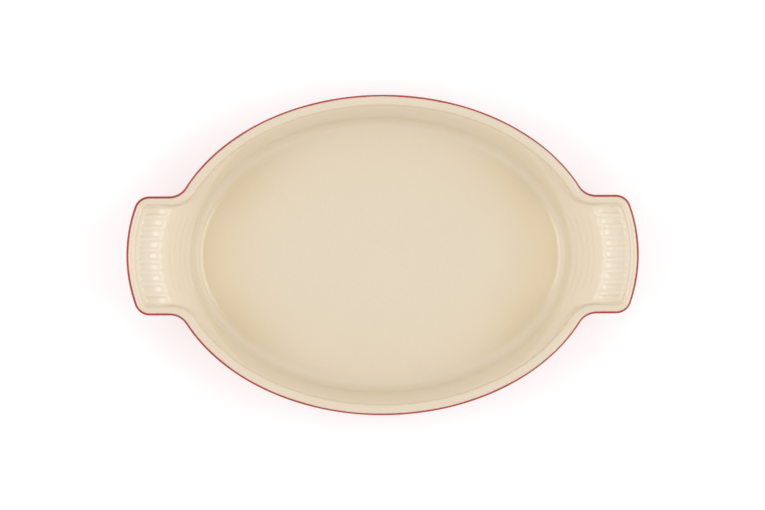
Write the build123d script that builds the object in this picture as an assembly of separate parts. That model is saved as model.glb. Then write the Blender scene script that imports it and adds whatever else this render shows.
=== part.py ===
from build123d import *
import os
from math import asin, atan2, cos, degrees, hypot, radians, sin, sqrt, tan

# A glazed stoneware gratin dish: an oval basin with a fluted tab handle at each end
# The origin is the centre of the face it stands on, +X runs along the handles, +Z is up
# All sizes are in millimetres

# Plan of the dish, on the outer edge of the glazed rim
bowl_length = 238.0
bowl_width = 175.0
grip_reach = 21.0
grip_width = 65.0
grip_end_radius = 80.4
grip_corner_radius = 8.6
grip_root_radius = 10.5

# Heights from the table
rim_height = 48.0
foot_height = 2.4
floor_thickness = 5.1

# Rim: a rounded bead that runs all the way round the bowl and both handles
rim_width = 5.2
rim_rounding = 2.5
recess_depth = 2.8

# Basin: how far its wall draws in from the rim to the floor
basin_end_draw = 11.3
basin_side_draw = 8.5
basin_foot_radius = 5.5

# Outer wall: how far it draws in from the rim to the base, and the shares of its height and draw
base_end_draw = 17.0
base_side_draw = 17.0
wall_height_shares = (0.0, 0.2, 0.52, 1.0)
wall_draw_shares = (1.0, 0.5, 0.16, 0.0)

# Foot ring
foot_inset = 2.0
foot_ring_width = 5.0
foot_rounding = 0.8

# Handles: a shelf behind the rim, a shoulder and a chute that runs down the end wall
# The reaches are measured outwards from the end of the bowl
grip_edge_height = 10.0
grip_edge_rounding = 2.5
finger_reach = 13.5
finger_radius = 18.0
shoulder_reach = 10.0
shoulder_radius = 11.0
chute_angle = 58.0

# Flutes across each handle, which tilt down and run in past the end of the bowl
flute_count = 9
flute_pitch = 6.1
flute_radius = 3.4
flute_depth = 0.9
flute_tilt = 10.0
flute_run_in = 9.0
flute_end_gap = 0.3

# Glaze
glaze_thickness = 0.5

# Length by which cuts run past the surfaces that they cut
overrun = 10.0

dish_length = bowl_length + 2 * grip_reach
grip_axis = dish_length / 2 - grip_end_radius
floor_height = foot_height + floor_thickness
base_length = bowl_length - 2 * base_end_draw
base_width = bowl_width - 2 * base_side_draw
foot_length = base_length - 2 * foot_inset
foot_width = base_width - 2 * foot_inset


def oval(length, width, height, inset=0.0):
    """A flat ellipse at a height, drawn in evenly by the inset."""
    return Pos(0, 0, height) * Ellipse(length / 2 - inset, width / 2 - inset)


def root_angle(a, b, half_grip, radius):
    """Ellipse angle at which the root arc of a handle leaves the oval, by halving."""
    low, high = 0.0, radians(90)
    for _ in range(60):
        middle = (low + high) / 2
        normal = hypot(cos(middle) / a, sin(middle) / b)
        reach = b * sin(middle) + radius * (sin(middle) / b) / normal
        if reach < half_grip + radius:
            low = middle
        else:
            high = middle
    return (low + high) / 2


def arc_about(centre, radius, start, end):
    """Circular arc about a centre, from one angle to another, in degrees."""
    points = []
    for angle in (start, (start + end) / 2, end):
        points.append(centre + Vector(radius * cos(radians(angle)), radius * sin(radians(angle))))
    return ThreePointArc(*points)


def outline(inset):
    """Plan of bowl and handles in one closed line, drawn in evenly by the inset."""
    a = bowl_length / 2 - inset
    b = bowl_width / 2 - inset
    half_grip = grip_width / 2 - inset
    end = grip_end_radius - inset
    corner = grip_corner_radius - inset
    root = grip_root_radius + inset

    angle = root_angle(a, b, half_grip, root)
    slope = atan2(sin(angle) / b, cos(angle) / a)
    root_centre = Vector(a * cos(angle) + root * cos(slope), half_grip + root)
    corner_y = half_grip - corner
    corner_centre = Vector(grip_axis + sqrt((end - corner) ** 2 - corner_y ** 2), corner_y)
    tip = degrees(asin(corner_y / (end - corner)))
    turn = degrees(slope)

    quarter = [
        arc_about(root_centre, root, 180 + turn, 270),
        Line((root_centre.X, half_grip), (corner_centre.X, half_grip)),
        arc_about(corner_centre, corner, 90, tip),
    ]
    share = degrees(angle)
    end_arc = arc_about(Vector(grip_axis, 0), end, -tip, tip)
    side_arc = EllipticalCenterArc((0, 0), a, b, start_angle=share, arc_size=180 - 2 * share)
    upper = Curve() + quarter + [mirror(edge, Plane.YZ) for edge in quarter] + side_arc
    whole = upper + mirror(upper, Plane.XZ) + end_arc + mirror(end_arc, Plane.YZ)
    return Face(Wire(whole.edges()))


def prism(face, low, high):
    """Upright solid on a flat plan, between two heights."""
    return extrude(Pos(0, 0, low) * face, high - low, dir=(0, 0, 1))


def bowl_outside(skin):
    """The bowl without its hollow, drawn in by the skin, up to where the rim starts."""
    top = rim_height - recess_depth - skin
    sections = []
    for rise, draw in zip(wall_height_shares, wall_draw_shares):
        length = bowl_length - 2 * draw * base_end_draw
        width = bowl_width - 2 * draw * base_side_draw
        sections.append(oval(length, width, foot_height + rise * (top - foot_height), skin))
    return loft(sections)


def turned(profile):
    """The profile in the XZ plane turned half round about the right handle's axis."""
    upright = Axis((grip_axis, 0, 0), (0, 0, 1))
    return revolve(profile.rotate(upright, -90), upright, 180)


def grip_underside(skin):
    """Solid that bounds a handle below: a ledge for the fingers, hollowed down to the wall."""
    tip = dish_length / 2 - skin
    top = rim_height + overrun
    low = rim_height - grip_edge_height + skin
    rounding = grip_edge_rounding - skin
    hollow = finger_radius + skin
    ledge_end = bowl_length / 2 + finger_reach
    foot = low - hollow
    outer = Polyline((grip_axis, foot), (grip_axis, top), (tip, top), (tip, low + rounding))
    lip = RadiusArc((tip, low + rounding), (tip - rounding, low), rounding)
    ledge = Line((tip - rounding, low), (ledge_end, low))
    curve = RadiusArc((ledge_end, low), (ledge_end - hollow, foot), -hollow)
    close = Line((ledge_end - hollow, foot), (grip_axis, foot))
    return turned(Plane.XZ * make_face([outer, lip, ledge, curve, close]))


def grip_plan(skin):
    """Plan of the right handle: the part of the outline past the start of its root arcs."""
    a = bowl_length / 2 - skin
    b = bowl_width / 2 - skin
    angle = root_angle(a, b, grip_width / 2 - skin, grip_root_radius + skin)
    start = a * cos(angle)
    past = Pos(start, 0) * Rectangle(dish_length, bowl_width, align=(Align.MIN, Align.CENTER))
    return outline(skin) & past


def rim(skin):
    """The bead round bowl and handles, rounded on both of its upper edges."""
    low = rim_height - recess_depth - skin
    top = rim_height - skin
    bead = prism(outline(skin), low, top) - prism(outline(rim_width - skin), low, top)
    return fillet(bead.edges().filter_by_position(Axis.Z, top, top), rim_rounding - skin)


def chute(skin):
    """Hollow of the right handle, from its lip over the shelf and shoulder into the basin."""
    lip = dish_length / 2 - rim_width + skin
    top = rim_height + overrun
    shelf = rim_height - recess_depth - skin
    radius = shoulder_radius - skin
    edge = bowl_length / 2 + shoulder_reach
    slope = radians(chute_angle)
    end = (edge - radius * sin(slope), shelf - radius * (1 - cos(slope)))
    toe = (end[0] - (end[1] - floor_height) / tan(slope), floor_height)
    start = (grip_axis, floor_height)
    inside = Polyline(toe, start, (grip_axis, top), (lip, top), (lip, shelf), (edge, shelf))
    shoulder = RadiusArc((edge, shelf), end, -radius)
    hollow = turned(Plane.XZ * make_face([inside, shoulder, Line(end, toe)]))
    return hollow & prism(outline(rim_width - skin), floor_height, top)


def flutes(skin):
    """Grooves across the shelf of the right handle, round-ended at the lip and tilted inwards."""
    half_flute = sqrt(flute_depth * (2 * flute_radius - flute_depth))
    lip = grip_end_radius - rim_width - flute_end_gap - half_flute
    height = rim_height - recess_depth - flute_depth + flute_radius
    radius = flute_radius + skin
    tilt = radians(flute_tilt)
    inwards = Vector(-cos(tilt), 0, -sin(tilt))
    grooves = []
    for index in range(flute_count):
        y = (index - (flute_count - 1) / 2) * flute_pitch
        start = Vector(grip_axis + sqrt(lip ** 2 - y ** 2), y, height)
        run = (start.X - bowl_length / 2 + flute_run_in) / cos(tilt)
        along = Plane(start, z_dir=inwards)
        groove = along * Cylinder(radius, run, align=(Align.CENTER, Align.CENTER, Align.MIN))
        grooves.append(groove + Pos(start) * Sphere(radius))
    return grooves


def basin(skin):
    """Hollow of the bowl below the rim's bead, rounded where the wall meets the floor."""
    top = rim_height - recess_depth - skin
    low = floor_height - skin
    mouth = oval(bowl_length, bowl_width, top, rim_width - skin)
    length = bowl_length - 2 * basin_end_draw
    width = bowl_width - 2 * basin_side_draw
    floor = oval(length, width, low, rim_width - skin)
    hollow = loft([floor, mouth], ruled=True)
    return fillet(hollow.edges().sort_by(Axis.Z)[0], basin_foot_radius + skin)


def outside(skin):
    """Bowl and handles as one closed form below the rim, without the hollow."""
    shelf = rim_height - recess_depth - skin
    grip = prism(grip_plan(skin), foot_height, shelf) & grip_underside(skin)
    return bowl_outside(skin) + [grip, mirror(grip, Plane.YZ)]


def dish(skin):
    """The whole form, drawn in all over by the skin."""
    cuts = [chute(skin)] + flutes(skin)
    cuts += [mirror(cut, Plane.YZ) for cut in cuts]
    return outside(skin) - ([basin(skin)] + cuts) + rim(skin)


def clay_pieces(clay):
    """The basin and the two handles, parted where the handles are luted to the wall."""
    top = rim_height - glaze_thickness
    wall = bowl_outside(glaze_thickness)
    wall += prism(oval(bowl_length, bowl_width, 0, glaze_thickness), top - recess_depth, top)
    grips = (clay - wall).solids().sort_by(Axis.X)
    return clay & wall, grips[0], grips[-1]


def glaze_coats(clay):
    """Cream coat over all that is seen from above and red coat outside, which meet on the rim."""
    coat = dish(0) - clay
    low = rim_height - glaze_thickness
    slab = prism(Rectangle(dish_length + overrun, bowl_width + overrun), low, rim_height + overrun)
    inner, outer = (coat - slab).solids().sort_by(lambda solid: solid.bounding_box().size.X)
    return inner + (coat & slab), outer


def foot_ring():
    """The bare ring under the floor, rounded on its two lower edges."""
    outer = oval(foot_length, foot_width, 0)
    ring = prism(outer - oval(foot_length, foot_width, 0, foot_ring_width), 0, foot_height)
    return fillet(ring.edges().filter_by_position(Axis.Z, 0, 0), foot_rounding)


def base_glaze():
    """The coat under the floor, inside the foot ring."""
    inside = oval(foot_length, foot_width, 0, foot_ring_width)
    return prism(inside, foot_height - glaze_thickness, foot_height)


def main():
    clay = dish(glaze_thickness)
    body, left, right = clay_pieces(clay)
    inner, outer = glaze_coats(clay)
    pieces = {
        "stoneware_body": body,
        "left_handle": left,
        "right_handle": right,
        "foot_ring": foot_ring(),
        "inner_glaze": inner,
        "outer_glaze": outer,
        "base_glaze": base_glaze(),
    }
    os.makedirs("parts", exist_ok=True)
    for name, piece in pieces.items():
        export_step(piece, f"parts/{name}.step")
        print(name, len(piece.solids()), "solid,", round(piece.volume), "cubic mm")


main()
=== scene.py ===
# %% [markdown]
# # A glazed stoneware gratin dish
# The real dish is a stoneware casting that is dipped in two glazes and fired on a bare foot ring.
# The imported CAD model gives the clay. This lesson dresses it: a cream glaze coat inside and over
# the rim, a red glaze coat outside, the bare foot ring and the glazed base, each its own piece.

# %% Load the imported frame
import bmesh
import bpy
import numpy as np
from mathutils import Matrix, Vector


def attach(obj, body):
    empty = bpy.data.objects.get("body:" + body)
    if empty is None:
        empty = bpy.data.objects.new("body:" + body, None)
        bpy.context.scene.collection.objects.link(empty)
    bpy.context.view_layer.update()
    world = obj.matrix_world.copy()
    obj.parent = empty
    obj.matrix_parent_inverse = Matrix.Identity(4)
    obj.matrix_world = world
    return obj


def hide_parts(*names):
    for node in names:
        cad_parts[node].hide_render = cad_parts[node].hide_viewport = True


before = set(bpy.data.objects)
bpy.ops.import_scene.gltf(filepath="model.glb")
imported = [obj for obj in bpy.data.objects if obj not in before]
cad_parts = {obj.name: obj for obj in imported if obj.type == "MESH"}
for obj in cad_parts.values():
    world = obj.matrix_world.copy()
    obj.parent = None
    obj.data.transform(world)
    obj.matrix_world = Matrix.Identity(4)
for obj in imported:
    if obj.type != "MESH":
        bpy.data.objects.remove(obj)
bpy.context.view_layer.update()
print("CAD nodes:", sorted(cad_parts))

# %% [markdown]
# ## Sizes
# All sizes are in millimetres, as in the CAD source, and turn into metres when a mesh is made.
# The glaze follows the CAD surface. In a corner it lies a little above it, because glaze gathers
# there, and it never dips far below it, because the clay is half a millimetre under it.

# %% Sizes of the dish
MM = 0.001
HALF_LENGTH, HALF_WIDTH = 119.0, 87.5
GRIP_AXIS, END_RADIUS, HALF_GRIP = 59.6, 80.4, 32.5
CORNER_RADIUS, ROOT_RADIUS = 8.6, 10.5
RIM_TOP, SHELF, FLOOR, FOOT = 48.0, 45.2, 7.5, 2.4
COAT = 0.5

# %% [markdown]
# ## The outline
# Everything follows one closed line, the outer edge of the rim: an oval with a tab at each end.
# A curve object could carry it, but the glaze coats need the outward direction at each point too,
# so the line is worked out as points and normals. One quarter is drawn and mirrored three times.

# %% One quarter of the outline
def arc_points(centre, radius, start, end, count, side=1.0):
    """Points on an arc and their outward normals; side -1 is for a hollow corner."""
    angle = np.radians(np.linspace(start, end, count, endpoint=False))
    out = np.stack([np.cos(angle), np.sin(angle)], 1)
    return np.array(centre) + radius * out, side * out


def root_of_grip():
    """Ellipse angle at which the hollow corner of a handle leaves the oval, by halving."""
    low, high = 0.0, np.pi / 2
    for _ in range(60):  # each round halves what is left
        t = (low + high) / 2
        rise = np.sin(t) / HALF_WIDTH / np.hypot(np.cos(t) / HALF_LENGTH, np.sin(t) / HALF_WIDTH)
        if HALF_WIDTH * np.sin(t) + ROOT_RADIUS * rise < HALF_GRIP + ROOT_RADIUS:
            low = t
        else:
            high = t
    return low


ROOT = root_of_grip()
COUNTS = {"tip": 60, "corner": 14, "side": 10, "root": 12, "oval": 54}  # columns on each run


def quarter_outline():
    """Points, normals and the run each is on, from a handle's tip to the middle of a long side."""
    corner_y = HALF_GRIP - CORNER_RADIUS
    reach = END_RADIUS - CORNER_RADIUS
    tip = np.degrees(np.arcsin(corner_y / reach))
    corner = (GRIP_AXIS + np.sqrt(reach**2 - corner_y**2), corner_y)
    slope = np.arctan2(np.sin(ROOT) / HALF_WIDTH, np.cos(ROOT) / HALF_LENGTH)
    root = (HALF_LENGTH * np.cos(ROOT) + ROOT_RADIUS * np.cos(slope), HALF_GRIP + ROOT_RADIUS)
    side_x = np.linspace(corner[0], root[0], COUNTS["side"], endpoint=False)
    side = np.stack([side_x, np.full_like(side_x, HALF_GRIP)], 1)
    turn = np.linspace(ROOT, np.pi / 2, COUNTS["oval"] + 1)
    oval = np.stack([HALF_LENGTH * np.cos(turn), HALF_WIDTH * np.sin(turn)], 1)
    out = np.stack([np.cos(turn) / HALF_LENGTH, np.sin(turn) / HALF_WIDTH], 1)
    runs = {
        "tip": arc_points((GRIP_AXIS, 0), END_RADIUS, 0, tip, COUNTS["tip"]),
        "corner": arc_points(corner, CORNER_RADIUS, tip, 90, COUNTS["corner"]),
        "side": (side, np.tile([0.0, 1.0], (len(side), 1))),
        "root": arc_points(root, ROOT_RADIUS, 270, 180 + np.degrees(slope), COUNTS["root"], -1.0),
        "oval": (oval, out / np.linalg.norm(out, axis=1)[:, None]),
    }
    points = np.concatenate([runs[k][0] for k in runs])
    normals = np.concatenate([runs[k][1] for k in runs])
    return points, normals, np.array([k for k in runs for _ in runs[k][0]])


# %% The whole outline
def all_round(quarter):
    """A quarter's points carried round all four quarters."""
    half = np.concatenate([quarter[:-1], (quarter * [-1, 1])[::-1][:-1]])
    return np.concatenate([half, -half])


def same_all_round(quarter):
    """One number for each point of the quarter, carried round all four quarters."""
    half = np.concatenate([quarter[:-1], quarter[::-1][:-1]])
    return np.concatenate([half, half])


def smooth(value, low, high):
    """0 below low, 1 above high, and an even curve between them."""
    t = np.clip((value - low) / (high - low), 0, 1)
    return t * t * (3 - 2 * t)


quarter, quarter_out, run_of = quarter_outline()
EDGE, OUT, RUN = all_round(quarter), all_round(quarter_out), same_all_round(run_of)
COLUMNS = len(EDGE)
along = np.concatenate([[0], np.cumsum(np.linalg.norm(np.diff(quarter, axis=0), axis=1))])
root_end = along[len(run_of) - COUNTS["oval"] - 1]
# 1 on a handle and 0 on the oval, with a change-over that starts 14 mm before the root's end
on_grip = same_all_round(1 - smooth(along, root_end - 14, root_end + 4))
# the way round the dish, from 0 to a full turn
lap = np.concatenate([[0], np.cumsum(np.linalg.norm(np.diff(EDGE, axis=0), axis=1))])
lap = 2 * np.pi * lap / (lap[-1] + np.linalg.norm(EDGE[0] - EDGE[-1]))
print(f"outline: {COLUMNS} columns, {2 * EDGE[:, 0].max():.1f} by {2 * EDGE[:, 1].max():.1f} mm")

# %% [markdown]
# ## The shape of the inside
# Inside the rim the surface is a height over the plan. The basin's wall is straight and meets the
# floor in a hollow corner, a little wider at the sides than at the ends. Each handle is a shelf
# that turns over a shoulder into a chute, and the chute runs down the end wall. The potter's
# sponge has softened where they meet, so the lower of the two is taken with a soft change-over.

# %% Wall, chute and their meeting
MOUTH, CORNER_OVAL = (113.4, 81.7), (102.5, 73.8)
FOOT_END, FOOT_SIDE, SOFTNESS = 8.5, 9.5, 1.6
SHOULDER_EDGE, SHOULDER_RADIUS, CHUTE_SLOPE, CHUTE_END = 69.4, 11.0, np.radians(58.0), 13.5


def wall_height(x, y):
    """Height of the basin's wall, its hollow corner and the floor.

    t says where a point lies between the sharp corner's oval, 0, and the mouth, 1.
    """
    low, high = np.full(x.shape, -1.3), np.full(x.shape, 2.6)
    for _ in range(40):
        t = (low + high) / 2
        a = CORNER_OVAL[0] + t * (MOUTH[0] - CORNER_OVAL[0])
        b = CORNER_OVAL[1] + t * (MOUTH[1] - CORNER_OVAL[1])
        inside = (x / a) ** 2 + (y / b) ** 2 < 1
        low, high = np.where(inside, low, t), np.where(inside, t, high)
    nx, ny = x / a**2, y / b**2
    size = np.hypot(nx, ny) + 1e-12
    run = np.hypot(MOUTH[0] * nx, MOUTH[1] * ny)
    run = (run - np.hypot(CORNER_OVAL[0] * nx, CORNER_OVAL[1] * ny)) / size
    angle = np.arctan2(SHELF - FLOOR, run)
    radius = FOOT_END + (FOOT_SIDE - FOOT_END) * (ny / size) ** 2
    tangent = radius * np.tan(angle / 2)
    out = t * run
    hollow = np.clip(out + tangent, 0, radius * np.sin(angle))
    hollow = FLOOR + radius - np.sqrt(radius**2 - hollow**2)
    return np.where(out < tangent * np.cos(angle), hollow, FLOOR + out * np.tan(angle))


def chute_height(reach):
    """Height of shelf, shoulder and chute at a distance from the handle's axis."""
    fall = SHOULDER_EDGE - reach
    turn = SHOULDER_RADIUS * np.sin(CHUTE_SLOPE)
    drop = SHOULDER_RADIUS * (1 - np.cos(CHUTE_SLOPE))
    arc = np.sqrt(SHOULDER_RADIUS**2 - np.clip(fall, 0, turn) ** 2) - SHOULDER_RADIUS
    fallen = np.where(fall < turn, arc, -drop - (fall - turn) * np.tan(CHUTE_SLOPE))
    return np.maximum(SHELF + fallen, CHUTE_END)


# %% One height for the whole inside
def inside_height(x, y):
    """Height of the glazed inside, without flutes and rings."""
    chute = chute_height(np.hypot(np.abs(x) - GRIP_AXIS, y))
    wall = wall_height(x, y)
    blend = np.clip(0.5 + (chute - wall) / (2 * SOFTNESS), 0, 1)
    return chute + (wall - chute) * blend - SOFTNESS * blend * (1 - blend)


INSIDE_BEAD = 7.0
for name, column in (("tip", 0), ("side", COUNTS["tip"] + COUNTS["corner"])):
    height = inside_height(*(EDGE - INSIDE_BEAD * OUT).T)[column]
    print(f"height inside the bead at the {name}: {height:.1f} mm")

# %% [markdown]
# ## Meshes from rows
# A coat is a front of rows, one point for each column of the outline, and a back half a millimetre
# behind it. Solidify could give the thickness, but it would double the rows of the front where
# they aren't needed, so the back takes only some of them. Both are joined into one closed mesh.

# %% Closed coats
def new_object(name, data):
    """An object in the scene, at the origin."""
    made = bpy.data.objects.new(name, data)
    bpy.context.scene.collection.objects.link(made)
    return made


def normals_of(rows):
    """Normals of a grid of points that is closed along its columns."""
    down = np.gradient(rows, axis=0)
    across = np.roll(rows, -1, 1) - np.roll(rows, 1, 1)
    n = np.cross(across, down)
    return n / (np.linalg.norm(n, axis=2)[:, :, None] + 1e-12)


def grid_quads(rows, columns, start):
    """Corner numbers of the quads of a grid that is closed along its columns."""
    i, j = np.meshgrid(np.arange(rows - 1), np.arange(columns), indexing="ij")
    k = (j + 1) % columns
    quads = np.stack([i * columns + j, i * columns + k,
                      (i + 1) * columns + k, (i + 1) * columns + j])
    return (start + quads.reshape(4, -1).T).tolist()


def closed_coat(name, front, back, with_poles):
    """Closed mesh object from a front and a back grid of points in mm."""
    columns = front.shape[1]
    points = np.concatenate([front.reshape(-1, 3), back.reshape(-1, 3)])
    second = front.shape[0] * columns
    faces = grid_quads(front.shape[0], columns, 0)
    faces += [q[::-1] for q in grid_quads(back.shape[0], columns, second)]
    last, back_last = second - columns, len(points) - columns
    for j in range(columns):
        k = (j + 1) % columns
        faces.append([j, second + j, second + k, k])
        if with_poles:
            faces.append([last + j, last + k, len(points)])
            faces.append([back_last + k, back_last + j, len(points) + 1])
        else:
            faces.append([last + k, back_last + k, back_last + j, last + j])
    if with_poles:
        points = np.concatenate([points, [front[-1].mean(0), back[-1].mean(0)]])
    mesh = bpy.data.meshes.new(name)
    mesh.from_pydata((points * MM).tolist(), [], faces)
    check = bmesh.new()
    check.from_mesh(mesh)
    if check.calc_volume(signed=True) < 0:
        bmesh.ops.reverse_faces(check, faces=check.faces)
    print(f"{name}: {len(check.faces)} faces, {check.calc_volume() * 1e6:.2f} ml of glaze,",
          "closed" if all(e.is_manifold for e in check.edges) else "open")
    check.to_mesh(mesh)
    check.free()
    mesh.shade_smooth()
    return new_object(name, mesh)


def keep_value(piece, name, front, back, poles=()):
    """Stores one number at each point of a coat and its poles, for its material."""
    values = np.concatenate([front.ravel(), back.ravel(), poles]).astype(np.float32)
    piece.data.attributes.new(name, "FLOAT", "POINT").data.foreach_set("value", values)


# %% [markdown]
# ## The rim
# The two glazes meet on the outer shoulder of the rim, about a millimetre in from its edge. The
# line of a dipped glaze wanders a little, so its distance from the edge gets slow waves round the
# dish. The rim itself is a bead: rounded outside, nearly flat on top, and rounded again inside.

# %% Rows over the rim
RIM_ROUND = 2.5
PARTING_INSET, MORE_ON_GRIP = 0.95, 0.2
PARTING_WAVES = ((0.05, 5, 1.0), (0.04, 13, 2.3), (0.03, 31, 0.0))  # millimetres, count, start
parting = PARTING_INSET + MORE_ON_GRIP * on_grip
for size, count, start in PARTING_WAVES:
    parting = parting + size * np.sin(count * lap + start)
parting_angle = np.arccos(1 - parting / RIM_ROUND)
bead_width = 5.6 - 0.7 * on_grip
inner_round = 1.6 + 0.4 * on_grip
# the bead meets the inside further in beside a handle's root, where glaze gathers in the corner
at_root = smooth(along, root_end - 9, root_end + 3)
at_root = at_root * (1 - smooth(along, root_end + 6, root_end + 24))
JOIN_INSET, MORE_AT_ROOT = 6.4, 2.5
JOIN = JOIN_INSET + MORE_AT_ROOT * same_all_round(at_root)


def at_inset(inset, height):
    """Points at a distance inwards from the rim's outer edge, one for each column."""
    plan = EDGE - inset[:, None] * OUT
    return np.concatenate([plan, np.broadcast_to(height, COLUMNS)[:, None]], 1)


PROBE = 0.3
mouth = at_inset(JOIN, 0)
mouth_height = inside_height(mouth[:, 0], mouth[:, 1])
deeper = at_inset(JOIN + PROBE, 0)
mouth_slope = (mouth_height - inside_height(deeper[:, 0], deeper[:, 1])) / PROBE
rim_rows, rim_insets = [], []


def outer_round(angle):
    """Inset and height on the rim's outer rounding: angle 0 is its edge, a quarter turn its top."""
    return RIM_ROUND * (1 - np.cos(angle)), RIM_TOP - RIM_ROUND * (1 - np.sin(angle))


def rim_row(inset, height):
    """Adds one row to the rim and notes how far in it is."""
    rim_rows.append(at_inset(inset, height))
    rim_insets.append(np.broadcast_to(inset, COLUMNS))


for share in np.linspace(0, 1, 6):
    rim_row(*outer_round(parting_angle + (np.pi / 2 - parting_angle) * share))
flat_end = bead_width - inner_round
rim_row((RIM_ROUND + flat_end) / 2, RIM_TOP)
for angle in np.linspace(np.pi / 2, 0.05, 8):
    rim_row(flat_end + inner_round * np.cos(angle), RIM_TOP - inner_round * (1 - np.sin(angle)))
# a curve with one bend carries the rim's inner side into the slope of the inside
start_height = RIM_TOP - inner_round
bend = np.minimum(mouth_height + mouth_slope * (JOIN - bead_width), start_height - 0.05)
bend_inset = np.maximum(bead_width, JOIN - (bend - mouth_height) / np.maximum(mouth_slope, 0.01))
for share in (0.13, 0.26, 0.39, 0.52, 0.65, 0.77, 0.89):
    first, second, third = (1 - share) ** 2, 2 * share * (1 - share), share**2
    inset = first * bead_width + second * bend_inset + third * JOIN
    rim_row(inset, first * start_height + second * bend + third * mouth_height)
print("rim rows:", len(rim_rows))

# %% [markdown]
# ## The cream coat
# From the rim, rows run down the wall or chute to the foot of the wall and on over the floor to a
# point in the middle. Rows along straight lines towards the floor's oval keep the quads even, and
# the height of each point comes from the shape of the inside.

# %% Rows inside
FLOOR_OVAL = (97.0, 65.4)
lead = ROOT * along[: len(run_of) - COUNTS["oval"] - 1] / root_end
turn = np.concatenate([lead, np.linspace(ROOT, np.pi / 2, COUNTS["oval"] + 1)])
TURN = all_round(np.stack([np.cos(turn), np.sin(turn)], 1))
floor_line = TURN * FLOOR_OVAL
WALL_ROWS, FLOOR_SHARES = 86, (0.9, 0.78, 0.64, 0.5, 0.36, 0.22, 0.1)
inside_rows = []
for share in np.linspace(0, 1, WALL_ROWS):
    plan = mouth[:, :2] + (floor_line - mouth[:, :2]) * share
    height = inside_height(plan[:, 0], plan[:, 1])
    inside_rows.append(np.concatenate([plan, height[:, None]], 1))
for share in FLOOR_SHARES:
    height = np.full((COLUMNS, 1), FLOOR)
    inside_rows.append(np.concatenate([floor_line * share, height], 1))
cream_front = np.array(rim_rows + inside_rows)
plan = cream_front[..., :2]
ahead, aside = np.diff(plan, axis=0), np.roll(plan, -1, 1)[:-1] - plan[:-1]
turned = aside[..., 0] * ahead[..., 1] - aside[..., 1] * ahead[..., 0]
turned = turned[8:]  # the rows above stand nearly on top of each other
print("quads folded over in plan:", min(int((turned < 0).sum()), int((turned > 0).sum())))
step = [i for i in range(len(cream_front)) if i % 5 == 0 or i == len(cream_front) - 1]
facing = normals_of(cream_front)
facing *= np.sign(facing[..., 2].sum())
cream_back = (cream_front - COAT * facing)[step]
cream_coat = closed_coat("cream_glaze_coat", cream_front, cream_back, True)


def hollow_share(points):
    """Above 0 where the inside is hollow and glaze gathers, below 0 where it is full and thins."""
    x, y, gap, gain = points[..., 0], points[..., 1], 1.5, 4
    sides = ((gap, 0), (-gap, 0), (0, gap), (0, -gap))
    around = sum(inside_height(x + i, y + j) for i, j in sides)
    return np.clip((around - 4 * inside_height(x, y)) / gap**2 * gain, -1, 1)


CORNER_GATHERS, END_SHADE, RIM_THINS, FAR_INSIDE = 0.5, 2.1, -0.25, 20.0
inside_part = np.array(inside_rows)
x, y, z = np.moveaxis(np.abs(inside_part), 2, 0)
# painted shade: the floor is darkened towards its two ends, where the end walls shade it
end_shade = smooth(np.hypot(x / FLOOR_OVAL[0], y / FLOOR_OVAL[1]), 0.6, 1.0) * smooth(x, 30, 85)
end_shade *= 1 - smooth(z, FLOOR + 0.1, FLOOR + 1.5)
hollow = np.zeros(cream_front.shape[:2])
# the hollow value is glaze gathered in hollows plus the painted shade at the floor's two ends
hollow[len(rim_rows):] = CORNER_GATHERS * hollow_share(inside_part) + END_SHADE * end_shade
hollow[:len(rim_rows)] = RIM_THINS * smooth(np.arange(len(rim_rows)), 12, 7)[:, None]
from_parting = np.full(cream_front.shape[:2], FAR_INSIDE)
from_parting[:len(rim_rows)] = np.array(rim_insets) - parting
keep_value(cream_coat, "hollow", hollow, hollow[step], (0.0, 0.0))
keep_value(cream_coat, "from_parting_mm", from_parting, from_parting[step],
           (FAR_INSIDE, FAR_INSIDE))
print(f"glaze gathers on {int((hollow > 0.1).sum())} of {hollow.size} points")

# %% [markdown]
# ## Flutes and rings
# Nine flutes run across each handle's shelf, and worn throwing rings cross the chute below them.
# They repeat, so a Geometry Nodes tree presses them into the coat: it works out from each point's
# position how deep it lies in a flute or ring and lowers it. The sizes are inputs of the tree, so
# that another dish of the same family can change them.

# %% One helper for every node
def add(tree, kind, feeds=None, **settings):
    """Adds one node with its settings; a feed is a value, a socket, or a node's first output."""
    node = tree.nodes.new(kind)
    for name, value in settings.items():
        setattr(node, name, value)
    for key, value in (feeds or {}).items():
        if isinstance(value, bpy.types.Node):
            value = value.outputs[0]
        if isinstance(value, bpy.types.NodeSocket):
            tree.links.new(value, node.inputs[key])
        else:
            node.inputs[key].default_value = value
    return node


def new_tree(name, sizes):
    """An empty Geometry Nodes tree with named inputs for its sizes and its material."""
    tree = bpy.data.node_groups.new(name, "GeometryNodeTree")
    tree.interface.new_socket("Geometry", in_out="INPUT", socket_type="NodeSocketGeometry")
    for size in sizes:
        tree.interface.new_socket(size, in_out="INPUT", socket_type="NodeSocketFloat")
    tree.interface.new_socket("Finish", in_out="INPUT", socket_type="NodeSocketMaterial")
    tree.interface.new_socket("Geometry", in_out="OUTPUT", socket_type="NodeSocketGeometry")
    return tree, add(tree, "NodeGroupInput").outputs


def finish_tree(tree, geometry, finish):
    """Ends a tree: instances made real, faces smooth, material set."""
    real = add(tree, "GeometryNodeRealizeInstances", {"Geometry": geometry})
    smoothed = add(tree, "GeometryNodeSetShadeSmooth", {"Geometry": real})
    dressed = add(tree, "GeometryNodeSetMaterial", {"Geometry": smoothed, "Material": finish})
    add(tree, "NodeGroupOutput", {0: dressed})


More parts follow.
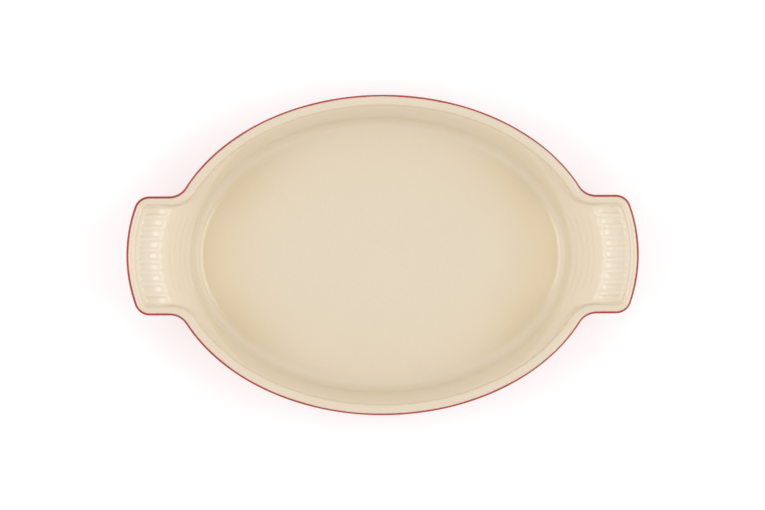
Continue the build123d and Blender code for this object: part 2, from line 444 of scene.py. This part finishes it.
def grow(piece, tree, sizes, finish):
    """Runs a tree on a piece with its sizes and leaves a plain mesh."""
    modifier = piece.modifiers.new(tree.name, "NODES")
    modifier.node_group = tree
    for item in tree.interface.items_tree:
        if item.in_out == "INPUT" and item.name in sizes:
            modifier[item.identifier] = float(sizes[item.name])
        if item.in_out == "INPUT" and item.name == "Finish":
            modifier[item.identifier] = finish
    graph = bpy.context.evaluated_depsgraph_get()
    mesh = bpy.data.meshes.new_from_object(piece.evaluated_get(graph))
    piece.modifiers.remove(modifier)
    piece.data = mesh
    print(f"{piece.name}: {tree.name} left {len(mesh.polygons)} faces")


# %% [markdown]
# The depth of a flute falls off in two directions. Across, it is full over the middle and rises to
# a narrow ridge. Along, it starts in a round end just inside the rim's bead and runs out over the
# shoulder. The rings are soft waves, 0.6 mm from crest to hollow and 2.9 mm apart. The finish
# reads how deep a point lies in its flute from the value that the tree stores.

# %% Tree that presses flutes and rings
PRESS_SIZES = {
    "Grip axis": GRIP_AXIS * MM,
    "Flute count": 9, "Flute pitch": 6.1 * MM, "Flute depth": 0.95 * MM,
    "Floor share": 0.4, "Ridge share": 0.9, "End bulge": 1.6 * MM,
    "Lip reach": 75.4 * MM, "Lip ramp": 2.4 * MM,
    "Run-out reach": 57.5 * MM, "Run-out": 9.0 * MM,
    "Ring count": 5, "Ring pitch": 2.9 * MM, "Ring relief": 0.6 * MM,
    "Ring reach": 57.7 * MM, "Ring half width": 27.0 * MM,
}


def pressing_tree():
    """The tree that lowers a coat into flutes and rings, by each point's reach from the axis."""
    tree, size = new_tree("flutes and rings", PRESS_SIZES)
    place = add(tree, "ShaderNodeSeparateXYZ", {0: add(tree, "GeometryNodeInputPosition")})
    long = add(tree, "ShaderNodeMath", {0: place.outputs[0]}, operation="ABSOLUTE")
    ahead = add(tree, "ShaderNodeMath", {0: long, 1: size["Grip axis"]}, operation="SUBTRACT")
    ahead = add(tree, "ShaderNodeMath", {0: ahead, 1: 0.0}, operation="MAXIMUM")
    flat = add(tree, "ShaderNodeCombineXYZ", {0: ahead, 1: place.outputs[1]})
    reach = add(tree, "ShaderNodeVectorMath", {0: flat}, operation="LENGTH").outputs["Value"]
    wide = add(tree, "ShaderNodeMath", {0: place.outputs[1]}, operation="ABSOLUTE")

    turns = add(tree, "ShaderNodeMath", {0: place.outputs[1], 1: size["Flute pitch"]},
                operation="DIVIDE")
    whole = add(tree, "ShaderNodeMath", {0: turns}, operation="ROUND")
    off = add(tree, "ShaderNodeMath", {0: turns, 1: whole}, operation="SUBTRACT")
    off = add(tree, "ShaderNodeMath", {0: off}, operation="ABSOLUTE")
    share = add(tree, "ShaderNodeMath", {0: off, 1: 2.0}, operation="MULTIPLY")
    across = add(tree, "ShaderNodeMapRange",
                 {0: share, 1: size["Floor share"], 2: size["Ridge share"], 3: 1.0, 4: 0.0},
                 interpolation_type="SMOOTHSTEP")
    squared = add(tree, "ShaderNodeMath", {0: share, 1: share}, operation="MULTIPLY")
    bulge = add(tree, "ShaderNodeMath", {0: squared, 1: size["End bulge"]}, operation="MULTIPLY")
    lip = add(tree, "ShaderNodeMath", {0: size["Lip reach"], 1: bulge}, operation="SUBTRACT")
    inside_lip = add(tree, "ShaderNodeMath", {0: lip, 1: reach}, operation="SUBTRACT")
    lip_end = add(tree, "ShaderNodeMapRange", {0: inside_lip, 1: 0.0, 2: size["Lip ramp"]},
                  interpolation_type="SMOOTHSTEP")
    run_out = add(tree, "ShaderNodeMath", {0: size["Run-out reach"], 1: bulge}, operation="ADD")
    past = add(tree, "ShaderNodeMath", {0: reach, 1: run_out}, operation="SUBTRACT")
    inner_end = add(tree, "ShaderNodeMapRange", {0: past, 1: 0.0, 2: size["Run-out"]},
                    interpolation_type="SMOOTHSTEP")
    half = add(tree, "ShaderNodeMath", {0: size["Flute count"], 1: 0.5}, operation="MULTIPLY")
    half = add(tree, "ShaderNodeMath", {0: half, 1: size["Flute pitch"]}, operation="MULTIPLY")
    panel = add(tree, "ShaderNodeMath", {0: wide, 1: half}, operation="LESS_THAN")
    flute = panel
    for factor in (across, lip_end, inner_end):
        flute = add(tree, "ShaderNodeMath", {0: flute, 1: factor}, operation="MULTIPLY")
    flute_cut = add(tree, "ShaderNodeMath", {0: flute, 1: size["Flute depth"]},
                    operation="MULTIPLY")

    back = add(tree, "ShaderNodeMath", {0: size["Ring reach"], 1: reach}, operation="SUBTRACT")
    ring = add(tree, "ShaderNodeMath", {0: back, 1: size["Ring pitch"]}, operation="DIVIDE")
    phase = add(tree, "ShaderNodeMath", {0: ring, 1: 2 * np.pi}, operation="MULTIPLY")
    wave = add(tree, "ShaderNodeMath", {0: phase}, operation="COSINE")
    first = add(tree, "ShaderNodeMapRange", {0: ring, 1: -0.5, 2: 0.1},
                interpolation_type="SMOOTHSTEP")
    left = add(tree, "ShaderNodeMath", {0: size["Ring count"], 1: ring}, operation="SUBTRACT")
    last = add(tree, "ShaderNodeMapRange", {0: left, 1: 0.5, 2: 1.1},
               interpolation_type="SMOOTHSTEP")
    inner_half = add(tree, "ShaderNodeMath", {0: size["Ring half width"], 1: 0.6},
                     operation="MULTIPLY")
    middle = add(tree, "ShaderNodeMapRange",
                 {0: wide, 1: inner_half, 2: size["Ring half width"], 3: 1.0, 4: 0.0},
                 interpolation_type="SMOOTHSTEP")
    for factor in (first, last, middle):
        wave = add(tree, "ShaderNodeMath", {0: wave, 1: factor}, operation="MULTIPLY")
    relief = add(tree, "ShaderNodeMath", {0: size["Ring relief"], 1: 0.5}, operation="MULTIPLY")
    ring_rise = add(tree, "ShaderNodeMath", {0: wave, 1: relief}, operation="MULTIPLY")

    rise = add(tree, "ShaderNodeMath", {0: ring_rise, 1: flute_cut}, operation="SUBTRACT")
    offset = add(tree, "ShaderNodeCombineXYZ", {2: rise})
    moved = add(tree, "GeometryNodeSetPosition", {"Geometry": size["Geometry"], "Offset": offset})
    noted = add(tree, "GeometryNodeStoreNamedAttribute",
                {"Geometry": moved, "Name": "flute", "Value": flute},
                data_type="FLOAT", domain="POINT")
    finish_tree(tree, noted, size["Finish"])
    return tree


# %% [markdown]
# ## The red coat
# Outside, each column runs from the parting line over the edge and down. On the oval it follows the
# wall, which draws in towards the base. On a handle it goes round the edge, under the ledge for the
# fingers and into the wall below; the first column of the oval on each side does so too, because
# the clay of the handle ends there. Each column is drawn finely and then divided into even rows, so
# that neighbours match where the handles leave the oval.

# %% Wall, ledge and the path down the outside
END_DRAW, SIDE_DRAW, OUTER_ROWS = 17.0, 17.0, 88
DRAW_SHARES = [1.0, 0.4995, 0.2535, 0.1135, 0.0365, 0.0]  # of the draw, at even heights, foot first
draw_curve = np.polyfit(np.linspace(0, 1, 6), DRAW_SHARES, 5)
LEDGE, FINGER_RADIUS, FINGER_END = 38.0, 18.0, 72.9
TIP_EDGE, SIDE_EDGE = 2.5, 0.7  # roundings of a handle's lower edge


def wall_point(direction, height):
    """Points of the outer wall at a height, in the directions of the outline's columns."""
    drawn = np.polyval(draw_curve, np.clip((height - FOOT) / (SHELF - FOOT), 0, 1))
    drawn = np.where(height > SHELF, 0.0, drawn)
    return np.array([(HALF_LENGTH - END_DRAW * drawn) * direction[0],
                     (HALF_WIDTH - SIDE_DRAW * drawn) * direction[1], height])


def ledge_height(x, y):
    """Height of a handle's underside at a place in the plan."""
    back = np.clip(FINGER_END - np.hypot(abs(x) - GRIP_AXIS, y), 0, FINGER_RADIUS)
    return LEDGE - FINGER_RADIUS + np.sqrt(FINGER_RADIUS**2 - back**2)


def path_down(k):
    """Points from the rim's outer edge down to the base, for one column."""
    edge, out, direction, top = EDGE[k], OUT[k], TURN[k], RIM_TOP - RIM_ROUND
    if RUN[k - 1] == RUN[k] == RUN[(k + 1) % COLUMNS] == "oval":
        return np.array([wall_point(direction, h) for h in np.linspace(top, FOOT, 90)])
    meet = 25.0
    for _ in range(40):  # closes in on the height at which the ledge meets the wall
        at = wall_point(direction, meet)
        meet = 0.5 * meet + 0.5 * ledge_height(at[0], at[1])
    inner = wall_point(direction, meet)
    room = np.linalg.norm(inner[:2] - edge)
    bottom = ledge_height(*edge)
    rounding = min(TIP_EDGE if RUN[k] == "tip" else SIDE_EDGE, room / 2)
    path = [np.append(edge, h) for h in np.linspace(top, bottom + rounding, 12)]
    for angle in np.linspace(0.2, np.pi / 2, 7):
        inset = rounding * (1 - np.cos(angle))
        path.append(np.append(edge - inset * out, bottom + rounding * (1 - np.sin(angle))))
    start = edge - rounding * out
    for share in np.linspace(0.04, 1, 30):
        plan = start + (inner[:2] - start) * share
        path.append(np.append(plan, ledge_height(*plan)))
    path += [wall_point(direction, h) for h in np.linspace(meet, FOOT, 50)[1:]]
    return np.array(path)


def even_rows(path, count):
    """A path divided into points at equal steps along it."""
    far = np.concatenate([[0], np.cumsum(np.linalg.norm(np.diff(path, axis=0), axis=1))])
    steps = np.linspace(0, far[-1], count)
    return np.stack([np.interp(steps, far, path[:, i]) for i in range(3)], 1)


rows = np.stack([even_rows(path_down(k), OUTER_ROWS) for k in range(COLUMNS)], 1)
rows[1:-1] = (rows[:-2] + 2 * rows[1:-1] + rows[2:]) / 4  # glaze eases sharp corners
shares = np.linspace(0, 1, 7)[:-1]
over_edge = np.array([at_inset(*outer_round(parting_angle * (1 - share))) for share in shares])
red_front = np.concatenate([over_edge, rows])
facing = normals_of(red_front)
facing *= np.sign((facing[..., :2] * OUT).sum())
step = [i for i in range(len(red_front)) if i % 3 == 0 or i == len(red_front) - 1]
red_back = (red_front - COAT * facing)[step]
red_back[-1] = red_front[-1] - np.append(COAT * OUT, np.zeros((COLUMNS, 1)), 1)
red_coat = closed_coat("red_glaze_coat", red_front, red_back, False)
strides = np.linalg.norm(np.diff(red_front, axis=0), axis=2)
down = np.concatenate([[np.zeros(COLUMNS)], np.cumsum(strides, 0)])
keep_value(red_coat, "from_parting_mm", down, down[step])
from_foot = down[-1] - down
keep_value(red_coat, "from_foot_mm", from_foot, from_foot[step])
print(f"from the parting line down to the foot: {down[-1].min():.0f} to {down[-1].max():.0f} mm")

# %% [markdown]
# ## Foot ring and base
# The foot ring is a rounded bar bent round an oval: a curve with a profile, made by a second tree
# with inputs for its size, so the same tree could make the foot of any oval dish. The base inside
# it is a thin sheet of glaze, half a millimetre in the middle and thinner where the ring was wiped.

# %% Tree that sweeps a ring round an oval
RING_SIZES = {
    "Half length": 97.5 * MM, "Half width": 66.0 * MM,
    "Ring width": 5.0 * MM, "Ring height": 2.8 * MM, "Rounding": 0.8 * MM,
}
AROUND = 240  # points round the ring and the base


def ring_tree():
    """The tree that bends a circle to an oval and sweeps a rounded box along it."""
    tree, size = new_tree("ring swept round an oval", RING_SIZES)
    round_line = add(tree, "GeometryNodeCurvePrimitiveCircle",
                     {"Resolution": AROUND, "Radius": 1.0})
    place = add(tree, "ShaderNodeSeparateXYZ", {0: add(tree, "GeometryNodeInputPosition")})
    x = add(tree, "ShaderNodeMath", {0: place.outputs[0], 1: size["Half length"]},
            operation="MULTIPLY")
    y = add(tree, "ShaderNodeMath", {0: place.outputs[1], 1: size["Half width"]},
            operation="MULTIPLY")
    z = add(tree, "ShaderNodeMath", {0: size["Ring height"], 1: 0.5}, operation="MULTIPLY")
    spot = add(tree, "ShaderNodeCombineXYZ", {0: x, 1: y, 2: z})
    oval = add(tree, "GeometryNodeSetPosition", {"Geometry": round_line, "Position": spot})
    upright = add(tree, "GeometryNodeSetCurveNormal", {"Curve": oval}, mode="Z_UP")
    box = add(tree, "GeometryNodeCurvePrimitiveQuadrilateral",
              {"Width": size["Ring width"], "Height": size["Ring height"]})
    profile = add(tree, "GeometryNodeFilletCurve",
                  {"Curve": box, "Radius": size["Rounding"], "Count": 6}, mode="POLY")
    swept = add(tree, "GeometryNodeCurveToMesh", {"Curve": upright, "Profile Curve": profile})
    finish_tree(tree, swept, size["Finish"])
    return tree


# %% Base inside the ring
BASE_OVAL, BASE_SHARES = (95.0, 63.5), (1.0, 0.985, 0.96, 0.92, 0.85, 0.7, 0.5, 0.3, 0.12)


def base_rows(middle_height, edge_height):
    """Rows of the base glaze, from its edge at the foot ring to near its centre."""
    angle = np.linspace(0, 2 * np.pi, AROUND, endpoint=False)
    direction = np.stack([np.cos(angle), np.sin(angle)], 1)
    rows = []
    for share in BASE_SHARES:
        height = middle_height + (edge_height - middle_height) * smooth(share, 0.93, 1.0)
        plan = direction * BASE_OVAL * share
        rows.append(np.concatenate([plan, np.full((AROUND, 1), height)], 1))
    return np.array(rows)


UNDERSIDE_MIDDLE, UNDERSIDE_EDGE = 1.9, 2.1
underside = base_rows(UNDERSIDE_MIDDLE, UNDERSIDE_EDGE)
base = closed_coat("glazed_base", underside, base_rows(FOOT, FOOT), True)

# %% [markdown]
# ## Finishes
# Three real materials: a cream glaze and a cherry red glaze, both fired glossy, and the bare
# stoneware of the foot. Colours are given as sRGB hex values and turned to linear by one function,
# and each pattern's size comes from a real size in millimetres.

# %% Colour and pattern helpers
def linear(hex_colour):
    """An sRGB hex value as a linear colour."""
    parts = [int(hex_colour[i:i + 2], 16) / 255 for i in (1, 3, 5)]
    return [p / 12.92 if p <= 0.04045 else ((p + 0.055) / 1.055) ** 2.4 for p in parts] + [1.0]


def per_metre(size_mm):
    """Scale of a noise texture whose grains are about this many millimetres across."""
    return 1 / (size_mm * MM)


def new_material(name):
    """A material with an empty node tree."""
    material = bpy.data.materials.new(name)
    material.use_nodes = True
    material.node_tree.nodes.clear()
    return material, material.node_tree


# %% [markdown]
# Cream stoneware glaze, dipped and fired glossy. It is a clear, slightly tinted glass over white
# slip: where it gathers in a hollow it looks deeper and yellower, where it thins on an edge it
# looks paler and warmer. The top of the rounded rim and the floor's two ends are darkened a little
# in colour, as painted shade. Beside the parting line a little of the red has bled into it.

# %% Cream glaze
def cream_glaze():
    """Five masks: glaze specked, deep (with painted shade at the floor's ends), thin, painted shade
    on the rim, bled into.
    """
    material, tree = new_material("cream stoneware glaze, dipped and fired glossy")
    place = add(tree, "ShaderNodeTexCoord").outputs["Object"]
    clouds = add(tree, "ShaderNodeTexNoise",
                 {"Vector": place, "Scale": per_metre(38), "Detail": 2.0})
    grain = add(tree, "ShaderNodeTexNoise",
                {"Vector": place, "Scale": per_metre(1.6), "Detail": 3.0})
    speck = add(tree, "ShaderNodeMapRange", {0: grain, 1: 0.3, 2: 0.75, 3: 0.0, 4: 0.35})
    # hollow carries glaze gathered in hollows and the painted shade at the floor's two ends
    hollow = add(tree, "ShaderNodeAttribute", attribute_name="hollow").outputs["Fac"]
    flute = add(tree, "ShaderNodeAttribute", attribute_name="flute").outputs["Fac"]
    depth = add(tree, "ShaderNodeMath", {0: flute, 1: 0.35, 2: hollow}, operation="MULTIPLY_ADD")
    deep_and_shaded = add(tree, "ShaderNodeMapRange", {0: depth, 1: 0.0, 2: 4.0, 3: 0.0, 4: 1.0})
    thin = add(tree, "ShaderNodeMapRange", {0: depth, 1: 0.0, 2: -1.0, 3: 0.0, 4: 0.2})
    edge = add(tree, "ShaderNodeAttribute", attribute_name="from_parting_mm").outputs["Fac"]
    # painted shade: the top of the rim's bead is darkened a little towards #C2AA90
    rim_shade = add(tree, "ShaderNodeMapRange", {0: edge, 1: 4.6, 2: 5.8, 3: 0.22, 4: 0.0})
    wander = add(tree, "ShaderNodeTexNoise", {"Vector": place, "Scale": per_metre(2.5)})
    edge = add(tree, "ShaderNodeMath", {0: wander, 1: 0.5, 2: edge}, operation="MULTIPLY_ADD")
    bled = add(tree, "ShaderNodeMapRange", {0: edge, 1: 0.25, 2: 0.75, 3: 0.7, 4: 0.0},
               interpolation_type="SMOOTHSTEP")
    body = add(tree, "ShaderNodeMix", {0: clouds, 6: linear("#E5D8C3"), 7: linear("#E9DCC6")},
               data_type="RGBA")
    for amount, tint in ((speck, "#E3D5BC"), (deep_and_shaded, "#E0CDA6"), (thin, "#F0E2CC"),
                         (rim_shade, "#C2AA90"), (bled, "#C98C78")):
        body = add(tree, "ShaderNodeMix", {0: amount, 6: body.outputs[2], 7: linear(tint)},
                   data_type="RGBA")
    ripple = add(tree, "ShaderNodeTexNoise",
                 {"Vector": place, "Scale": per_metre(9), "Detail": 1.0})
    gloss = add(tree, "ShaderNodeMapRange", {0: grain, 1: 0.3, 2: 0.7, 3: 0.12, 4: 0.18})
    relief = add(tree, "ShaderNodeBump",
                 {"Height": ripple, "Strength": 0.25, "Distance": 0.15 * MM})
    shine = add(tree, "ShaderNodeBsdfPrincipled",
                {"Base Color": body.outputs[2], "Roughness": gloss, "Normal": relief, "IOR": 1.5})
    add(tree, "ShaderNodeOutputMaterial", {"Surface": shine})
    return material


# %% [markdown]
# Cherry red stoneware glaze. It is a strong colour in a thick glossy glass: it turns darker where
# it gathers above the foot ring, and breaks to a rusty orange on the sharp shoulder of the rim,
# where it is thin over the clay. Fine darker specks keep it from looking like paint.

# %% Red glaze
def red_glaze():
    """Three masks say where the glaze is specked, gathered above the foot or broken at the rim."""
    material, tree = new_material("cherry red stoneware glaze, dipped and fired glossy")
    place = add(tree, "ShaderNodeTexCoord").outputs["Object"]
    clouds = add(tree, "ShaderNodeTexNoise",
                 {"Vector": place, "Scale": per_metre(22), "Detail": 3.0})
    grain = add(tree, "ShaderNodeTexNoise",
                {"Vector": place, "Scale": per_metre(1.2), "Detail": 4.0})
    speck = add(tree, "ShaderNodeMapRange", {0: grain, 1: 0.55, 2: 0.75, 3: 0.0, 4: 0.5})
    foot = add(tree, "ShaderNodeAttribute", attribute_name="from_foot_mm").outputs["Fac"]
    gathered = add(tree, "ShaderNodeMapRange", {0: foot, 1: 0.5, 2: 6.0, 3: 0.7, 4: 0.0},
                   interpolation_type="SMOOTHSTEP")
    edge = add(tree, "ShaderNodeAttribute", attribute_name="from_parting_mm").outputs["Fac"]
    edge = add(tree, "ShaderNodeMath", {0: clouds, 1: 0.6, 2: edge}, operation="MULTIPLY_ADD")
    broken = add(tree, "ShaderNodeMapRange", {0: edge, 1: 0.3, 2: 0.9, 3: 0.35, 4: 0.0},
                 interpolation_type="SMOOTHSTEP")
    body = add(tree, "ShaderNodeMix", {0: clouds, 6: linear("#94201A"), 7: linear("#A82A20")},
               data_type="RGBA")
    for amount, tint in ((speck, "#7A1114"), (gathered, "#5E0D12"), (broken, "#B0452F")):
        body = add(tree, "ShaderNodeMix", {0: amount, 6: body.outputs[2], 7: linear(tint)},
                   data_type="RGBA")
    ripple = add(tree, "ShaderNodeTexNoise",
                 {"Vector": place, "Scale": per_metre(7), "Detail": 1.0})
    gloss = add(tree, "ShaderNodeMapRange", {0: grain, 1: 0.3, 2: 0.7, 3: 0.1, 4: 0.18})
    relief = add(tree, "ShaderNodeBump", {"Height": ripple, "Strength": 0.3, "Distance": 0.2 * MM})
    shine = add(tree, "ShaderNodeBsdfPrincipled",
                {"Base Color": body.outputs[2], "Roughness": gloss, "Normal": relief, "IOR": 1.45})
    add(tree, "ShaderNodeOutputMaterial", {"Surface": shine})
    return material


# %% [markdown]
# Bare stoneware, fired without glaze: matt, buff and slightly toasted, with iron specks less than
# a millimetre across and a fine sandy grain that is drawn a little coarse so that it shows.

# %% Bare stoneware
def bare_stoneware():
    """Toasted patches, iron specks and a sandy relief."""
    material, tree = new_material("bare buff stoneware, fired matt")
    place = add(tree, "ShaderNodeTexCoord").outputs["Object"]
    toast = add(tree, "ShaderNodeTexNoise",
                {"Vector": place, "Scale": per_metre(14), "Detail": 3.0})
    body = add(tree, "ShaderNodeMix", {0: toast, 6: linear("#C2A987"), 7: linear("#D3BD9C")},
               data_type="RGBA")
    sand = add(tree, "ShaderNodeTexNoise",
               {"Vector": place, "Scale": per_metre(0.7), "Detail": 4.0})
    dots = add(tree, "ShaderNodeTexVoronoi", {"Vector": place, "Scale": per_metre(3.2)})
    iron = add(tree, "ShaderNodeMapRange", {0: dots, 1: 0.1, 2: 0.16, 3: 0.8, 4: 0.0})
    body = add(tree, "ShaderNodeMix", {0: iron, 6: body.outputs[2], 7: linear("#6B4A33")},
               data_type="RGBA")
    rough = add(tree, "ShaderNodeMapRange", {0: sand, 1: 0.3, 2: 0.7, 3: 0.75, 4: 0.95})
    relief = add(tree, "ShaderNodeBump", {"Height": sand, "Strength": 0.6, "Distance": 0.15 * MM})
    matt = add(tree, "ShaderNodeBsdfPrincipled",
               {"Base Color": body.outputs[2], "Roughness": rough, "Normal": relief, "IOR": 1.5})
    add(tree, "ShaderNodeOutputMaterial", {"Surface": matt})
    return material


# %% Dress every piece
cream, red, bare = cream_glaze(), red_glaze(), bare_stoneware()
grow(cream_coat, pressing_tree(), PRESS_SIZES, cream)
red_coat.data.materials.append(red)
base.data.materials.append(red)
foot_ring = new_object("bare_foot_ring", bpy.data.meshes.new("bare_foot_ring"))
grow(foot_ring, ring_tree(), RING_SIZES, bare)
for name in ("stoneware_body", "left_handle", "right_handle"):
    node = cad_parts[name]
    node.data.materials.clear()
    node.data.materials.append(bare)

# %% [markdown]
# ## Tie the pieces to the frame
# The dish is one rigid body, so every piece rides on it. Each coat stands for the CAD solid of the
# same glaze, which is hidden.

# %% Ride and replace
ties = [
    (cream_coat, "inner_glaze", "cream_glaze"),
    (red_coat, "outer_glaze", "red_glaze"),
    (base, "base_glaze", "red_glaze"),
    (foot_ring, "foot_ring", "stoneware"),
]
for piece, node, slot in ties:
    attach(piece, "root")
    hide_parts(node)
    print(piece.name, "stands for", node)

# %% [markdown]
# ## Studio
# The photograph is taken from straight above on white, in a pale room with a soft light at each
# end of the dish. The end lights draw the bright bands on the flutes and at the foot of the end
# walls, and the right one is a little the stronger. The room is brighter low down, and most of all
# beyond the two ends, which lights the steep walls inside. The floor is bright enough to go pure
# white, except close to the dish, where it is shaded.

# %% Floor
FLOOR_REACH = 12.0  # metres


def stage_floor():
    """A wide matt sheet under the dish; it glows a little, so that it goes pure white."""
    material, tree = new_material("matt white studio floor")
    place = add(tree, "ShaderNodeTexCoord").outputs["Object"]
    fibre = add(tree, "ShaderNodeTexNoise", {"Vector": place, "Scale": per_metre(3), "Detail": 4.0})
    tone = add(tree, "ShaderNodeMix", {0: fibre, 6: linear("#D0D0D0"), 7: linear("#D4D4D4")},
               data_type="RGBA")
    matt = add(tree, "ShaderNodeBsdfPrincipled",
               {"Base Color": tone.outputs[2], "Roughness": 0.9, "Specular IOR Level": 0.2,
                "Emission Color": (1, 1, 1, 1), "Emission Strength": 0.47})
    add(tree, "ShaderNodeOutputMaterial", {"Surface": matt})
    mesh = bpy.data.meshes.new("studio_floor")
    signs = ((-1, -1), (1, -1), (1, 1), (-1, 1))
    corners = [(FLOOR_REACH * i, FLOOR_REACH * j, 0) for i, j in signs]
    mesh.from_pydata(corners, [], [(0, 1, 2, 3)])
    mesh.materials.append(material)
    floor = new_object("studio_floor", mesh)


stage_floor()

# %% Lights
world = bpy.data.worlds.new("pale room")
bpy.context.scene.world = world
world.use_nodes = True
world.node_tree.nodes.clear()
sky = add(world.node_tree, "ShaderNodeTexCoord").outputs["Generated"]
sky = add(world.node_tree, "ShaderNodeSeparateXYZ", {0: sky})
LOW_WALL, CEILING = 1.0, 0.57
ROOM_ENDS = ((0.75, 0.95, 1.2), (-0.75, -0.95, 1.0))  # where each end starts, is full, and its glow
glow = add(world.node_tree, "ShaderNodeMapRange",
           {0: sky.outputs[2], 1: 0.3, 2: 0.7, 3: LOW_WALL, 4: CEILING})
for start, full, strength in ROOM_ENDS:
    side = add(world.node_tree, "ShaderNodeMapRange",
               {0: sky.outputs[0], 1: start, 2: full, 3: 0.0, 4: strength})
    glow = add(world.node_tree, "ShaderNodeMath", {0: glow, 1: side}, operation="ADD")
room = add(world.node_tree, "ShaderNodeBackground", {"Color": (1, 1, 1, 1), "Strength": glow})
add(world.node_tree, "ShaderNodeOutputWorld", {"Surface": room})


SOFTBOX_AWAY, SOFTBOX_WIDTH, SOFTBOX_HEIGHT = 1.2, 0.7, 0.45  # metres


def softbox(name, lean, brightness):
    """A rectangular light that faces the dish; lean is from straight up towards +X, in degrees."""
    lamp = bpy.data.lights.new(name, "AREA")
    lamp.shape, lamp.size, lamp.size_y = "RECTANGLE", SOFTBOX_WIDTH, SOFTBOX_HEIGHT
    lamp.energy = brightness * np.pi * SOFTBOX_WIDTH * SOFTBOX_HEIGHT
    light = new_object(name, lamp)
    aim = Vector((np.sin(np.radians(lean)), 0, np.cos(np.radians(lean))))
    light.location = aim * SOFTBOX_AWAY
    light.rotation_euler = aim.to_track_quat("Z", "Y").to_euler()
    print(f"{name}: {lamp.energy:.1f} W")


softbox("softbox_right", 31, 3.1)
softbox("softbox_left", -36, 2.9)

# %% [markdown]
# The camera looks straight down from three metres with a long lens. Its width of view on the rim is
# 416.7 mm, which makes 765 pixels of 0.545 mm, and it is turned by a quarter of a degree, as the
# photograph's is. In the photograph the basin's floor lies a little left of the rim's middle, so
# the camera stands off to the left by some 13 cm and looks back at the middle of the rim, less
# half a millimetre, which is where the photograph's own middle lies.

# %% Camera
VIEW_WIDTH, CAMERA_RISE, CAMERA_ASIDE, SENSOR = 416.7 * MM, 3.0, 0.129, 36.0
OFF_MIDDLE, ROLL = 0.44 * MM, np.radians(-0.24)
camera_data = bpy.data.cameras.new("camera_above")
camera_data.sensor_width = SENSOR
camera_data.lens = SENSOR * CAMERA_RISE / VIEW_WIDTH
camera = new_object("camera_above", camera_data)
camera.location = (-CAMERA_ASIDE - OFF_MIDDLE, -CAMERA_ASIDE * np.sin(ROLL),
                   RIM_TOP * MM + CAMERA_RISE)
camera.rotation_euler = (0, -np.arctan(CAMERA_ASIDE / CAMERA_RISE), ROLL)
bpy.context.scene.camera = camera
bpy.context.scene.view_settings.view_transform = "Standard"
print(f"lens {camera_data.lens:.1f} mm")
